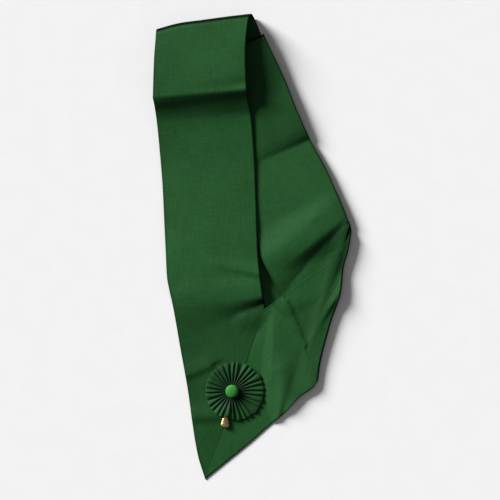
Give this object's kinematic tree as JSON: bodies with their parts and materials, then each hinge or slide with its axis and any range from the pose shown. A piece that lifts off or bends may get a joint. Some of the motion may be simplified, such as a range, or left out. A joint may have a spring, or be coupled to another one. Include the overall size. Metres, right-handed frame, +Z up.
{
  "type": "ceremonial shoulder sash",
  "caption": "Wide ribbed silk ribbon sewn into a loop with a mitred point, folded flat, with a pleated rosette, a covered button and a small gilt jewel hook on the point",
  "frame": {"origin": "bottom centre of the bounding box, on the surface that the folded sash lies on", "axes": "+Y runs along the lying sash from its point to its top fold, +X to the side of the rolled fold, +Z up from the surface"},
  "size_m": [0.218, 0.5115, 0.0238],
  "materials": {
    "ribbed_silk": "dark green ribbed silk ribbon with a soft sheen, faint storage creases",
    "pleated_silk": "the same dark green silk, pressed into fine radial pleats",
    "button_silk": "brighter green silk stretched over a button",
    "gilt": "gilt, smooth and bright, a little worn"
  },
  "bodies": {
    "root": {"sash_band": "ribbed_silk", "rosette": "pleated_silk", "rosette_button": "button_silk", "jewel_hook": "gilt"}
  },
  "joints": []
}
